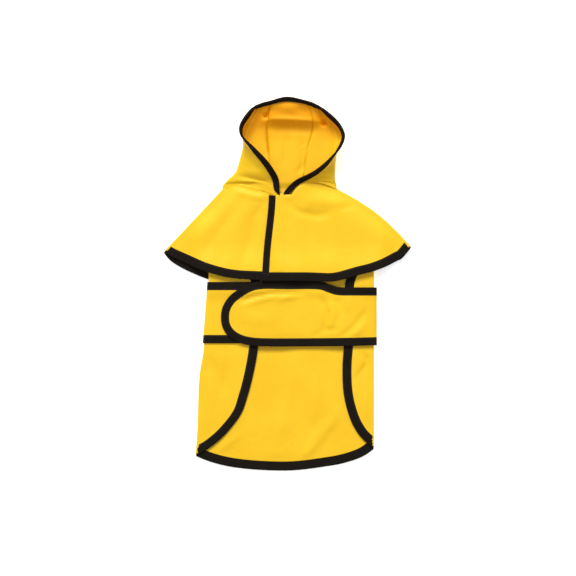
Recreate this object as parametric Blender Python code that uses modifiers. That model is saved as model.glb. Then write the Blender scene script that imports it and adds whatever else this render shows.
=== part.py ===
"""Dog raincoat laid flat on its back, belly side up.

Tables are in millimetres and meshes in metres. +X is the viewer's right, +Y runs
towards the hood, +Z is up, and the floor is Z = 0. Each cloth piece is a flat cut,
folded to its place by one function, and then given a wall.
"""
import math
from collections import namedtuple

import bmesh
import bpy
from mathutils import Vector

MM = 0.001
CLOTH = 1.0                 # wall of every cloth piece
TAPE = 1.6                  # bias binding, folded over the cloth's edge
SEAM = 0.3                  # gap between neighbours
FOLDED_SEAM = 0.5           # gap where a seam runs over a fold
FLOOR_LEVEL = CLOTH / 2     # middle of a cloth that lies on the floor
FOLD = 1.35                 # radius of a pressed fold, at the cloth's middle
FOLD_ARC = math.pi * FOLD
FOLD_STEPS = 4              # flat facets round a fold
MIDDLE = Vector((2.4, -0.4, 0))     # middle of the coat's box, which becomes the origin

YELLOW = (0.91, 0.56, 0.03, 1.0)
BLACK = (0.012, 0.010, 0.009, 1.0)

# back panel ---------------------------------------------------------------------
BACK_BINDING = 12.8
CAPE_UNDER_BACK = 1.95      # the back lies this much higher on the capelet's back hem
RISE_START, RISE_END = -25.0, -8.0
LEFT_FOLD_X, LEFT_FOLD_SLOPE = -107.5, 0.077
RIGHT_FOLD_X = 123.0
# unfolded edge from the left neck corner, down the left flap, round the hem and up
BACK_EDGE = [
    (-72, 120), (-84, 92), (-108, 66), (-150, 42), (-181, 5), (-189, -45), (-191.5, -90),
    (-190.8, -123), (-187.3, -157), (-180.5, -186), (-157, -219), (-126, -241), (-75, -256.5),
    (0, -261.5), (60, -255), (88, -249), (109, -241), (124, -230.5), (139, -218), (148, -207),
    (156.5, -191), (163.5, -169), (167.5, -145), (168, -110), (164, -60), (164.5, 0), (147, 36),
    (118, 62), (92, 92), (75, 120)]

# belly band ---------------------------------------------------------------------
BAND_BINDING = 11.6
UNDER_BAND_LEVEL = 5.2
OVER_BAND_LEVEL = 7.2
UNDER_BAND_TOP, UNDER_BAND_FOOT = 2.5, -83.0
UNDER_BAND_END = -25.0
OVER_BAND_EDGE = [
    (123, -5), (93, -5), (74, -4.5), (62, -1), (50, 3), (30, 4), (0, 4), (-33, 4),
    (-52, 0), (-68, -9), (-80, -19), (-88, -32), (-90.5, -46), (-88.5, -60), (-81, -72),
    (-68, -81), (-50, -86), (-25, -87.5), (30, -87.5), (80, -87), (123, -86)]
SAG_FROM, SAG_TO, SAG_RUN, SAG = -12.0, 78.0, 16.0, 2.1

# capelet ------------------------------------------------------------------------
CAPE_BINDING = 12.0
FRONT_BINDING = 9.8
LEFT_SHOULDER = ((-86.5, 134.0), (-171.0, 44.0))
RIGHT_SHOULDER = ((69.0, 134.0), (175.0, 52.0))
SWELL, SWELL_REACH = 7.5, 60.0       # the right shoulder fold bows out
RIGHT_HEM = [(-33, 4), (-22, 4), (0, 4), (30, 4), (50, 3.3), (62, 3), (76, 5), (101, 12),
             (121, 17), (138, 23), (155, 31.5), (165, 38)]
BACK_HEM = [(166, 40), (150, 29), (125, 18), (95, 9), (60, 2.5), (20, -1.5), (-20, -2),
            (-60, 0), (-90, 3.5), (-109, 6.5), (-134, 16.5), (-152, 26), (-164, 35)]
LEFT_HEM = [(-163.5, 40), (-151, 34), (-134, 26.5), (-117, 19), (-100, 13.5), (-84, 9.5),
            (-67, 7), (-50, 6), (-22, 5), (6, 4.5)]
LEFT_NECK = [(3, 125), (-8, 126), (-25, 130), (-45, 136), (-67, 139.5), (-84, 135)]
BACK_NECK = [(-84, 133), (-50, 131.2), (-16.5, 130.6), (23, 130.6), (45, 131.5), (67, 133)]
RIGHT_NECK = [(66, 136), (48, 143.5), (30, 141), (16, 134), (8, 124.5)]
RIGHT_FRONT_EDGE = [(-23.5, 124), (-25, 100), (-30.5, 50), (-32.6, 17.6)]
CAPE_LOW, CAPE_MID, CAPE_HEM = 3.6, 6.9, 11.6     # heights of the left front
CLIMB_FROM, CLIMB_RUN = 58.0, 46.0                 # where the fronts climb onto the band
CAPE_OVERLAP = 2.1                                # the right front lies this much higher

CAPE_GRID = 11.0                     # spacing of the creases that let it rise and fall
CAPE_REACH = 280.0                   # half the breadth of the flat cut, and more
HEM_STEPS = 2

# hood: one row for each section, neck to forehead ---------------------------------
Section = namedtuple("Section", "rim_y seam_y rim_z seam_z side_z low_z l_rim l_side l_low "
                                "l_seam r_seam r_low r_side r_rim")
HOOD = [
    Section(144, 144, 12, 0.5, 6.0, 0.8, -9.5, -81, -62, -19, 24, 52, 68.5, 14),
    Section(155, 156, 20, 0.5, 8.0, 0.8, -15, -69.5, -55, -22, 26, 53, 68.5, 38),
    Section(170, 173, 28, 0.5, 11, 1.0, -26, -64, -53, -23.5, 28, 56, 69.5, 58),
    Section(187, 190, 33, 0.5, 14, 1.6, -43, -60, -52, -25, 31, 60, 71, 74),
    Section(203, 204, 34, 1.0, 14, 2.5, -60, -59, -50, -26, 35, 62, 75, 81),
    Section(216, 217, 32, 4.0, 14, 4.0, -63.5, -56, -45, -26, 38, 60, 70, 77.5),
    Section(228, 229, 29, 11, 15, 8.0, -59, -49, -39, -25, 38, 51, 58, 69),
    Section(240, 243, 25.5, 15.5, 17.5, 14, -50, -43, -35, -23, 33, 42, 47.5, 55.5),
    Section(245, 253.5, 25, 24.5, 23.5, 24, -43.5, -38, -31, -21, 29, 37, 42, 47)]
FOREHEAD_PEAK = (2.0, 259.6)
# the hood's neck edge, left throat round the back to right throat, just clear of the capelet
NECK_RING = [(-8.5, 127.5, 7.2), (-46, 140, 6.6), (-87, 138, 3.2), (-55, 134, 0.7),
             (-16.5, 132.2, 0.5), (3, 132.2, 0.5), (23, 132.2, 0.5), (45, 134, 0.7),
             (70.5, 138.5, 3.2), (34, 148, 7.6), (-1.5, 129, 8.5)]
HOOD_ROW_STEPS = 2
HOOD_SPAN_STEPS = 3
SEAM_SPAN = 4                # spans from the rim to a seam
HOOD_BINDING_WALL = 1.4
RIM_SEAM = 0.75


def smooth(t):
    """0 to 1 with level ends."""
    t = min(max(t, 0.0), 1.0)
    return t * t * (3 - 2 * t)


def spline(points, steps):
    """Smooth line through all the points, with this many steps between neighbours."""
    pts = [Vector(p) for p in points]
    ends = [2 * pts[0] - pts[1]] + pts + [2 * pts[-1] - pts[-2]]
    line = []
    for a, b, c, d in zip(ends, ends[1:], ends[2:], ends[3:]):
        for k in range(steps):
            t = k / steps
            line.append(0.5 * (2 * b + (c - a) * t + (2 * a - 5 * b + 4 * c - d) * t * t
                               + (3 * b - a - 3 * c + d) * t ** 3))
    return line + [pts[-1]]


def moved_in(line, distance):
    """The flat line moved sideways, to the left of the way it runs."""
    out = []
    for i, point in enumerate(line):
        along = (line[min(i + 1, len(line) - 1)] - line[max(i - 1, 0)]).normalized()
        out.append(point + Vector((-along.y, along.x)) * distance)
    return out


def fold_over(past):
    """Distance past a fold's start, as (distance out from the start, height)."""
    if past <= 0:
        return past, 0.0
    if past < FOLD_ARC:
        return FOLD * math.sin(past / FOLD), FOLD * (1 - math.cos(past / FOLD))
    return FOLD_ARC - past, 2 * FOLD


def fold_offsets():
    return [FOLD_ARC * k / FOLD_STEPS for k in range(FOLD_STEPS + 1)]


# --- meshes -------------------------------------------------------------------------
def cut_face(outline, cuts):
    """A flat piece of cloth, creased along the given (point, normal) lines."""
    bm = bmesh.new()
    bm.faces.new([bm.verts.new((p[0], p[1], 0)) for p in outline])
    return creased(bm, cuts)


def strip(outer, inner, cuts):
    """A flat tape between two lines with the same number of points."""
    bm = bmesh.new()
    bmesh.ops.create_grid(bm, x_segments=1, y_segments=len(outer) - 1, size=1)
    verts = sorted(bm.verts, key=lambda v: (-round(v.co.x), v.co.y))
    for vert, point in zip(verts, list(outer) + list(inner)):
        vert.co = (point[0], point[1], point[2] if len(point) > 2 else 0)
    bmesh.ops.remove_doubles(bm, verts=bm.verts, dist=1e-6)
    return creased(bm, cuts)


def creased(bm, cuts):
    for point, normal in cuts:
        geom = bm.verts[:] + bm.edges[:] + bm.faces[:]
        bmesh.ops.bisect_plane(bm, geom=geom, dist=0.01, plane_co=(point[0], point[1], 0),
                               plane_no=(normal[0], normal[1], 0))
    bmesh.ops.triangulate(bm, faces=bm.faces)
    return bm


def placed(bm, place):
    for vert in bm.verts:
        vert.co = place(vert.co.x, vert.co.y)
    return bm


def node(name, bm, wall, side, finish):
    """Object with a wall: side -1 to 1 says where the wall lies about the surface."""
    for vert in bm.verts:
        vert.co = (vert.co - MIDDLE) * MM
    mesh = bpy.data.meshes.new(name)
    bm.to_mesh(mesh)
    bm.free()
    piece = bpy.data.objects.new(name, mesh)
    coat.objects.link(piece)
    mesh.materials.append(finish)
    thick = piece.modifiers.new("wall", "SOLIDIFY")
    thick.thickness = wall * MM
    thick.offset = side
    thick.use_even_offset = False
    return piece


def fabric(name, colour, roughness):
    made = bpy.data.materials.new(name)
    made.use_nodes = True
    shader = made.node_tree.nodes["Principled BSDF"]
    shader.inputs["Base Color"].default_value = colour
    shader.inputs["Roughness"].default_value = roughness
    shader.inputs["Metallic"].default_value = 0.0
    return made


# the tape lies flush with the coat's outer face and proud on its lining side
TAPE_SIDE = 1 - CLOTH / TAPE


# --- where each flat cut goes ----------------------------------------------------------
def rise(y):
    return CAPE_UNDER_BACK * smooth((y - RISE_START) / (RISE_END - RISE_START))


def left_fold(y):
    return LEFT_FOLD_X + LEFT_FOLD_SLOPE * min(y, 0)


def back_place(x, y):
    """Back panel: flat on the floor, both flaps turned up over it at the side folds."""
    left, right = left_fold(y) + FOLD, RIGHT_FOLD_X - FOLD
    level = FLOOR_LEVEL + rise(y)
    if x < left:
        out, up = fold_over(left - x)
        return left - out, y, level + up
    out, up = fold_over(x - right)
    return right + out, y, level + up


def band_place(x, y, level, sag):
    """Belly band: lies on the flaps and turns down over the side folds."""
    centre = FLOOR_LEVEL + FOLD
    radius = level - centre
    left, right = left_fold(y) + FOLD, RIGHT_FOLD_X - FOLD
    slack = smooth((x - SAG_FROM) / SAG_RUN) * smooth((SAG_TO - x) / SAG_RUN)
    z = level + rise(y)
    if x < left:
        turn = (left - x) / radius
        return left - radius * math.sin(turn), y, z - radius * (1 - math.cos(turn))
    if x > right:
        turn = (x - right) / radius
        return right + radius * math.sin(turn), y, z - radius * (1 - math.cos(turn))
    return x, y, z - sag * slack


def under_band_place(x, y):
    return band_place(x, y, UNDER_BAND_LEVEL, 0.0)


def over_band_place(x, y):
    return band_place(x, y, OVER_BAND_LEVEL, SAG)


class Shoulder:
    """A fold line of the capelet, with what lies past it turned to the front."""

    def __init__(self, line, outward_left):
        self.top, self.foot = Vector(line[0]), Vector(line[1])
        self.length = (self.foot - self.top).length
        self.along = (self.foot - self.top).normalized()
        side = Vector((-self.along.y, self.along.x))
        self.out = side if (side.x < 0) == outward_left else -side

    def past(self, x, y):
        """How far a point of the flat cut lies past the fold's start."""
        return (Vector((x, y)) - self.top).dot(self.out) + FOLD

    def unfold(self, point):
        """Flat cut's place for a point seen on the front."""
        out = self.past(*point)
        return Vector(point) + self.out * (FOLD_ARC - 2 * out)

    def cuts(self):
        return [(self.top + self.out * (k - FOLD), self.out) for k in fold_offsets()]


def front_level(x, y):
    """Height of the left front over the floor: low at the sides, high on the band."""
    mid = CAPE_MID + (CAPE_HEM - CAPE_MID) * smooth((CLIMB_FROM - y) / CLIMB_RUN)
    side = 1 - smooth((abs(x - 7) - 120) / 26)
    return CAPE_LOW + side * (mid - CAPE_LOW)


def cape_place(x, y):
    """Capelet: flat back on the floor, both fronts turned over at the shoulders."""
    for fold in (left_shoulder, right_shoulder):
        past = fold.past(x, y)
        out, up = fold_over(past)
        spot = Vector((x, y)) + fold.out * (out - past) if past > 0 else Vector((x, y))
        z = FLOOR_LEVEL + up
        if past > FOLD_ARC:
            ramp = smooth(-out / 25)
            goal = front_level(spot.x, spot.y)
            if fold is right_shoulder:
                goal += CAPE_OVERLAP * (1 - smooth((spot.x - 14) / 30))
            z += ramp * (goal - z)
        if past > 0:
            break
    along = (spot - right_shoulder.top).dot(right_shoulder.along) / right_shoulder.length
    depth = -(spot - right_shoulder.top).dot(right_shoulder.out)
    bow = SWELL * math.sin(math.pi * min(max(along, 0), 1)) * smooth(1 - depth / SWELL_REACH)
    spot = spot + right_shoulder.out * bow
    return spot.x, spot.y, z


def hood_sections():
    """Points across each hood section, left rim to right rim."""
    rows = [[Vector(point) for point in NECK_RING]]
    for s in HOOD:
        def at(x, share, z):
            return Vector((x, s.rim_y + (s.seam_y - s.rim_y) * share, z))
        left = [at(s.l_rim, 0, s.rim_z),
                at((s.l_rim + s.l_side) / 2, 0.2, s.side_z + (s.rim_z - s.side_z) * 0.6),
                at(s.l_side, 0.4, s.side_z), at(s.l_low, 0.7, s.low_z),
                at(s.l_seam, 1, s.seam_z)]
        right = [at(s.r_seam, 1, s.seam_z), at(s.r_low, 0.7, s.low_z),
                 at(s.r_side, 0.4, s.side_z),
                 at((s.r_rim + s.r_side) / 2, 0.2, s.side_z + (s.rim_z - s.side_z) * 0.6),
                 at(s.r_rim, 0, s.rim_z)]
        middle = (left[-1] + right[0]) / 2
        if s is HOOD[-1]:
            middle.x, middle.y = FOREHEAD_PEAK
        rows.append(left + [middle] + right)
    return rows


def hood_points():
    """Grid of points over the whole hood: rows neck to forehead, columns rim to rim."""
    rows = [spline(row, HOOD_SPAN_STEPS) for row in hood_sections()]
    columns = [spline(column, HOOD_ROW_STEPS) for column in zip(*rows)]
    grid = [list(row) for row in zip(*columns)]
    for row in grid:
        for point in row:
            point.z = max(point.z, FLOOR_LEVEL)
    return grid


def grid_piece(rows):
    """Surface through a grid of points."""
    bm = bmesh.new()
    across = len(rows[0])
    bmesh.ops.create_grid(bm, x_segments=across - 1, y_segments=len(rows) - 1, size=1)
    verts = sorted(bm.verts, key=lambda v: (round(v.co.y, 5), v.co.x))
    for vert, point in zip(verts, [p for row in rows for p in row]):
        vert.co = point
    bmesh.ops.triangulate(bm, faces=bm.faces)
    return bm


def drawn_back(rows, first, last, top):
    """The rows with their outer columns, and last row, half a seam further in."""
    def step(edge, inner):
        return edge + (inner - edge).normalized() * SEAM / 2
    out = [list(row) for row in rows]
    if top:
        out[-1] = [step(a, b) for a, b in zip(rows[-1], rows[-2])]
    for row in out:
        if first:
            row[0] = step(row[0], row[1])
        if last:
            row[-1] = step(row[-1], row[-2])
    return out


def stepped_out(outer, inner):
    """The inner line moved towards the outer one until it clears the panels."""
    line = []
    for i, (edge, start) in enumerate(zip(outer, inner)):
        across = (edge - start).normalized()
        along = inner[min(i + 2, len(inner) - 1)] - inner[max(i - 2, 0)]
        slant = across.cross(along.normalized()).length
        line.append(start + across * RIM_SEAM / max(slant, 0.2))
    return line


# --- clear the scene and start the coat ----------------------------------------------
for old in list(bpy.data.objects):
    bpy.data.objects.remove(old, do_unlink=True)
coat = bpy.data.collections.new("dog_raincoat")
bpy.context.scene.collection.children.link(coat)
yellow = fabric("yellow coated fabric", YELLOW, 0.5)
black = fabric("black bias binding", BLACK, 0.8)

level_cuts = [((0, RISE_START + (RISE_END - RISE_START) * k / 4), (0, 1)) for k in range(5)]
side_fold_normal = (1, -LEFT_FOLD_SLOPE)
back_cuts = level_cuts + [((LEFT_FOLD_X + FOLD - k, 0), side_fold_normal) for k in fold_offsets()]
back_cuts += [((LEFT_FOLD_X + FOLD - k, 0), (1, 0)) for k in fold_offsets()]
back_cuts += [((RIGHT_FOLD_X - FOLD + k, 0), (1, 0)) for k in fold_offsets()]

# --- back panel and the binding round its edge -----------------------------------------
edge = spline(BACK_EDGE, 2)
inner = moved_in(edge, BACK_BINDING)
node("back_panel", placed(cut_face(moved_in(edge, BACK_BINDING + FOLDED_SEAM), back_cuts), back_place),
     CLOTH, 0, yellow)
node("back_edge_binding", placed(strip(edge, inner, back_cuts), back_place),
     TAPE, TAPE_SIDE, black)

# --- belly band: under half, its two bindings, and the over half with its own --------------
band_cuts = level_cuts + [(((SAG_FROM + k * SAG_RUN / 4), 0), (1, 0)) for k in range(5)]
band_cuts += [((SAG_TO - k * SAG_RUN / 4, 0), (1, 0)) for k in range(5)]


def quarter_turn_cuts(level):
    """Creases where a band turns down over the side folds."""
    radius = level - FLOOR_LEVEL - FOLD
    turns = [radius * math.pi / 2 * k / 3 for k in range(3)]
    return ([((LEFT_FOLD_X + FOLD - k, 0), side_fold_normal) for k in turns]
            + [((RIGHT_FOLD_X - FOLD + k, 0), (1, 0)) for k in turns])


under_turn = (UNDER_BAND_LEVEL - FLOOR_LEVEL - FOLD) * math.pi / 2
under_cuts = band_cuts + quarter_turn_cuts(UNDER_BAND_LEVEL)


def under_end(y):
    return left_fold(y) + FOLD - under_turn


def under_line(y):
    return [Vector((under_end(y), y)), Vector((UNDER_BAND_END, y))]


under_top = UNDER_BAND_TOP - BAND_BINDING
under_foot = UNDER_BAND_FOOT + BAND_BINDING
bands = [("belly_band_left", under_foot + SEAM, under_top - SEAM, CLOTH, 0, yellow),
         ("belly_band_left_top_binding", under_top, UNDER_BAND_TOP, TAPE, -TAPE_SIDE, black),
         ("belly_band_left_lower_binding", UNDER_BAND_FOOT, under_foot, TAPE, -TAPE_SIDE, black)]
for name, low_y, high_y, wall, side, finish in bands:
    low, high = under_line(low_y), under_line(high_y)
    node(name, placed(cut_face(low + high[::-1], under_cuts), under_band_place),
         wall, side, finish)

over_turn = (OVER_BAND_LEVEL - FLOOR_LEVEL - FOLD) * math.pi / 2
over_reach = RIGHT_FOLD_X - FOLD + over_turn
over_cuts = band_cuts + quarter_turn_cuts(OVER_BAND_LEVEL)
over_edge = [Vector((over_reach, OVER_BAND_EDGE[0][1]))] + spline(OVER_BAND_EDGE, 3)
over_edge += [Vector((over_reach, OVER_BAND_EDGE[-1][1]))]
over_inner = moved_in(over_edge, BAND_BINDING)
over_cloth = moved_in(over_edge, BAND_BINDING + SEAM)
node("belly_band_right", placed(cut_face(over_cloth, over_cuts), over_band_place),
     CLOTH, 0, yellow)
node("belly_band_right_binding", placed(strip(over_edge, over_inner, over_cuts), over_band_place),
     TAPE, -TAPE_SIDE, black)

# --- capelet and its two bindings ------------------------------------------------------------
left_shoulder = Shoulder(LEFT_SHOULDER, True)
right_shoulder = Shoulder(RIGHT_SHOULDER, False)
hem = spline([left_shoulder.unfold(p) for p in LEFT_HEM[::-1]] + BACK_HEM[::-1]
             + [right_shoulder.unfold(p) for p in RIGHT_HEM[::-1]], HEM_STEPS)
front_edge = [right_shoulder.unfold(p) for p in RIGHT_FRONT_EDGE[::-1]]
neck = (spline([right_shoulder.unfold(p) for p in RIGHT_NECK[::-1]], 2)
        + spline(BACK_NECK[::-1], 2)
        + spline([left_shoulder.unfold(p) for p in LEFT_NECK[::-1]], 2))

cape_cuts = left_shoulder.cuts() + right_shoulder.cuts()
for k in range(int(-CAPE_REACH / CAPE_GRID), int(CAPE_REACH / CAPE_GRID)):
    cape_cuts.append(((k * CAPE_GRID, 0), (1, 0)))
    cape_cuts.append(((0, k * CAPE_GRID), (0, 1)))

hem_inner = moved_in(hem, CAPE_BINDING)
hem_cloth = moved_in(hem, CAPE_BINDING + FOLDED_SEAM)
edge_inner = moved_in(front_edge, FRONT_BINDING)
edge_cloth = moved_in(front_edge, FRONT_BINDING + FOLDED_SEAM)
cloth_outline = hem_cloth[:-HEM_STEPS] + edge_cloth + neck
node("capelet", placed(cut_face(cloth_outline, cape_cuts), cape_place), CLOTH, 0, yellow)
node("capelet_hem_binding", placed(strip(hem, hem_inner, cape_cuts), cape_place),
     TAPE, TAPE_SIDE, black)
node("capelet_front_binding", placed(strip(front_edge, edge_inner, cape_cuts), cape_place),
     TAPE, TAPE_SIDE, black)

# --- hood: three panels and the binding round its rim -------------------------------------------
hood = hood_points()
left_seam = SEAM_SPAN * HOOD_SPAN_STEPS
right_seam = len(hood[0]) - 1 - left_seam
panel_rows = hood[:-1]
panels = [("hood_left", 1, left_seam), ("hood_centre", left_seam, right_seam),
          ("hood_right", right_seam, len(hood[0]) - 2)]
for name, first, last in panels:
    rows = drawn_back([row[first:last + 1] for row in panel_rows], True, True, True)
    node(name, grid_piece(rows), CLOTH, 0, yellow)

rim_outer = ([row[0] for row in hood] + hood[-1][1:-1] + [row[-1] for row in hood[::-1]])
rim_inner = ([row[1] for row in panel_rows] + [panel_rows[-1][1]] + panel_rows[-1][1:-1]
             + [panel_rows[-1][-2]] + [row[-2] for row in panel_rows[::-1]])
rim_inner = stepped_out(rim_outer, rim_inner)
rim = strip(rim_outer, rim_inner, [])
node("hood_rim_binding", rim, HOOD_BINDING_WALL, 0, black)
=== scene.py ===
"""Dog raincoat laid flat on its back, belly side up, on a pale floor.

Lengths are in millimetres, as on a cutting plan, and become metres where a mesh is made.
"""
import math
from collections import namedtuple

import bmesh
import bpy
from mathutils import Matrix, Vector, noise
from mathutils.bvhtree import BVHTree


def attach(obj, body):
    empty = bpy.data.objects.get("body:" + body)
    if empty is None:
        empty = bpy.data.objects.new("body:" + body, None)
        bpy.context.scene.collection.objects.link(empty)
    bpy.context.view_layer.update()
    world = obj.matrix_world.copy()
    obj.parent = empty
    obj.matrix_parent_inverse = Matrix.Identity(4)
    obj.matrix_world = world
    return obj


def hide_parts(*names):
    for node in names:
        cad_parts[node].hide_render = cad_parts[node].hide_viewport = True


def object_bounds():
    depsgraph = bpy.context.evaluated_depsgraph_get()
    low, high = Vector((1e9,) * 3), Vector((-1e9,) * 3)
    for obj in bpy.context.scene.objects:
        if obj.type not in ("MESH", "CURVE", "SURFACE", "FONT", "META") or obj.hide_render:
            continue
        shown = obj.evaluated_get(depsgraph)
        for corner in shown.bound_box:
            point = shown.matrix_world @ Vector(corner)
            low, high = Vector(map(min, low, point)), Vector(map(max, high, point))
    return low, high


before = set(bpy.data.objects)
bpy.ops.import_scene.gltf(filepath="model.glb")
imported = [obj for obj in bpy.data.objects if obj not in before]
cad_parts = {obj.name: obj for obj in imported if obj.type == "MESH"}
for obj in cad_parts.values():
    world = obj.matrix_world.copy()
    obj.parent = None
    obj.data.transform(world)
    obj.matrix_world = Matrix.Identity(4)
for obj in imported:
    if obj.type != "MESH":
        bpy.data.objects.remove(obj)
cad_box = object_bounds()

# --- Studio -------------------------------------------------------------------------------
# A white sweep under a camera that looks straight down. A broad soft light stands past the
# hood end and a wide dim one over the coat, so folds shade softly towards the hem.
MM = 0.001
VIEW_CENTRE = (0.75, -5.5)
VIEW_WIDTH = 806.4
CAMERA_HEIGHT = 3000.0
SENSOR = 36.0
FLOOR_SIZE = 6.0
FLOOR_WHITE = 0.97
FLOOR_GLOW = 0.5                  # keeps the ground white, and hides most shadow on it
SKY_LIGHT = 0.38

scene = bpy.context.scene
scene.view_settings.view_transform = "Standard"
camera = bpy.data.objects.new("camera", bpy.data.cameras.new("camera"))
scene.collection.objects.link(camera)
camera.location = (VIEW_CENTRE[0] * MM, VIEW_CENTRE[1] * MM, CAMERA_HEIGHT * MM)
camera.data.sensor_width = SENSOR
camera.data.lens = SENSOR * CAMERA_HEIGHT / VIEW_WIDTH
scene.camera = camera

bm = bmesh.new()
bmesh.ops.create_grid(bm, x_segments=1, y_segments=1, size=FLOOR_SIZE / 2)
floor = bpy.data.objects.new("floor", bpy.data.meshes.new("floor"))
bm.to_mesh(floor.data)
bm.free()
floor.location.z = min(cad_box[0].z, 0.0) - 0.0003
scene.collection.objects.link(floor)


def plain(name, colour, roughness):
    """Material of one colour, for the stage only."""
    made = bpy.data.materials.new(name)
    made.use_nodes = True
    shader = made.node_tree.nodes["Principled BSDF"]
    shader.inputs["Base Color"].default_value = (*colour, 1)
    shader.inputs["Roughness"].default_value = roughness
    return made


sweep = plain("white sweep", (FLOOR_WHITE,) * 3, 0.95)
glow = sweep.node_tree.nodes["Principled BSDF"].inputs
glow["Emission Color"].default_value = (1, 1, 1, 1)
glow["Emission Strength"].default_value = FLOOR_GLOW
floor.data.materials.append(sweep)

world = scene.world or bpy.data.worlds.new("world")
scene.world = world
world.use_nodes = True
world.node_tree.nodes["Background"].inputs["Color"].default_value = (1, 1, 1, 1)
world.node_tree.nodes["Background"].inputs["Strength"].default_value = SKY_LIGHT

Lamp = namedtuple("Lamp", "name place aim size power")
for lamp in (Lamp("key", (-0.7, 4.4, 3.8), (0, 0, 0), 2.2, 350.0),
             Lamp("top", (0.2, -0.4, 2.8), (0, 0, 0), 2.4, 11.0)):
    light = bpy.data.lights.new(lamp.name, "AREA")
    light.size = lamp.size
    light.energy = lamp.power
    held = bpy.data.objects.new(lamp.name, light)
    held.location = lamp.place
    held.rotation_euler = (Vector(lamp.aim) - Vector(lamp.place)).to_track_quat("-Z", "Y").to_euler()
    scene.collection.objects.link(held)

# --- Back panel ---------------------------------------------------------------------------
# One saddle-shaped piece of yellow coated fabric, neck to rounded hem. Both sides are turned
# up over the belly at the side folds. It is cut flat, creased, and folded to its place.
CLOTH_WALL = 0.6
FLOOR_LEVEL = 0.5
FOLD = 1.35
FOLD_ARC = math.pi * FOLD
MIDDLE = Vector((2.4, -0.4, 0))
PITCH = 3.4
TUCK = 2.0                        # how far a cloth's edge runs into its binding
Crease = namedtuple("Crease", "wide deep path")


def smooth(t):
    """0 to 1 with level ends."""
    t = min(max(t, 0.0), 1.0)
    return t * t * (3 - 2 * t)


def spline(points, steps):
    """Smooth line through all the points, with this many steps between neighbours."""
    pts = [Vector(p) for p in points]
    ends = [2 * pts[0] - pts[1]] + pts + [2 * pts[-1] - pts[-2]]
    line = []
    for a, b, c, d in zip(ends, ends[1:], ends[2:], ends[3:]):
        for k in range(steps):
            t = k / steps
            line.append(0.5 * (2 * b + (c - a) * t + (2 * a - 5 * b + 4 * c - d) * t * t
                               + (3 * b - a - 3 * c + d) * t ** 3))
    return line + [pts[-1]]


def moved_in(line, distance):
    """The flat line moved sideways, to the left of the way it runs."""
    out = []
    for i, point in enumerate(line):
        along = (line[min(i + 1, len(line) - 1)] - line[max(i - 1, 0)]).normalized()
        out.append(point + Vector((-along.y, along.x)) * distance)
    return out


def fold_over(past):
    """Distance past a fold's start, as (distance out from the start, height)."""
    if past <= 0:
        return past, 0.0
    if past < FOLD_ARC:
        return FOLD * math.sin(past / FOLD), FOLD * (1 - math.cos(past / FOLD))
    return FOLD_ARC - past, 2 * FOLD


def relief(creases, x, y):
    """Height that the creases near a spot add: ridges up, troughs down."""
    total = 0.0
    for crease in creases:
        path = crease.path
        for i, (a, b) in enumerate(zip(path, path[1:])):
            ax, ay = b[0] - a[0], b[1] - a[1]
            t = ((x - a[0]) * ax + (y - a[1]) * ay) / (ax * ax + ay * ay)
            first, last = i == 0, i == len(path) - 2
            if (t < 0 and not first) or (t >= 1 and not last) or t < -0.4 or t > 1.4:
                continue
            off = math.hypot(x - a[0] - ax * t, y - a[1] - ay * t)
            if off > 3 * crease.wide:
                continue
            fade = 1.0
            if first:
                fade *= smooth((t + 0.4) / 0.8)
            if last:
                fade *= smooth((1.4 - t) / 0.8)
            total += crease.deep * fade * math.exp(-(off / crease.wide) ** 2)
            break
    return total


def slack(x, y, size, seed):
    """Slow unevenness of loose cloth, from -1 to 1."""
    return noise.noise(Vector((x / size, y / size, seed)))


def grid_cuts(lo, hi, axis, pitch):
    """Lines that crease a flat cut into a grid."""
    normal = (1, 0) if axis == 0 else (0, 1)
    count = int((hi - lo) / pitch)
    return [((lo + k * pitch,) * 2, normal) for k in range(1, count + 1)]


def fold_cuts(place, normal, sign):
    """Lines that let a flat cut bend smoothly round a fold."""
    steps = 6
    return [((place[0] + sign * normal[0] * FOLD_ARC * k / steps,
              place[1] + sign * normal[1] * FOLD_ARC * k / steps), normal)
            for k in range(steps + 1)]


def flat_cloth(outline, cuts):
    """A flat cut of cloth, with an edge wherever it may bend."""
    cloth = bmesh.new()
    cloth.faces.new([cloth.verts.new((p[0], p[1], 0)) for p in outline])
    for point, normal in cuts:
        bmesh.ops.bisect_plane(cloth, geom=cloth.verts[:] + cloth.edges[:] + cloth.faces[:],
                               dist=0.02, plane_co=(point[0], point[1], 0),
                               plane_no=(normal[0], normal[1], 0))
    return cloth


def flat_tape(outer, inner, across):
    """A flat tape between two lines, with this many strips across it."""
    tape = bmesh.new()
    bmesh.ops.create_grid(tape, x_segments=across, y_segments=len(outer) - 1, size=1)
    verts = sorted(tape.verts, key=lambda v: (-round(v.co.x, 4), v.co.y))
    for i, vert in enumerate(verts):
        share = (i // len(outer)) / across
        spot = i % len(outer)
        vert.co = Vector((*outer[spot].lerp(inner[spot], share), 0)[:3])
    return tape


def garment(name, cut, place, wall, side, finish):
    """Object from a flat cut: UVs from the cut, points folded to place, then a wall."""
    layer = cut.loops.layers.uv.new("cut")
    for face in cut.faces:
        face.smooth = True
        for loop in face.loops:
            loop[layer].uv = (loop.vert.co.x * MM, loop.vert.co.y * MM)
    if place:
        for vert in cut.verts:
            vert.co = place(vert.co.x, vert.co.y)
    return walled(name, cut, wall, side, finish)


def walled(name, cut, wall, side, finish):
    for vert in cut.verts:
        vert.co = (vert.co - MIDDLE) * MM
    made = bpy.data.objects.new(name, bpy.data.meshes.new(name))
    cut.to_mesh(made.data)
    cut.free()
    scene.collection.objects.link(made)
    made.data.materials.append(finish)
    thick = made.modifiers.new("wall", "SOLIDIFY")
    thick.thickness = wall * MM
    thick.offset = side
    thick.use_even_offset = False
    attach(made, "root")
    return made


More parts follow.
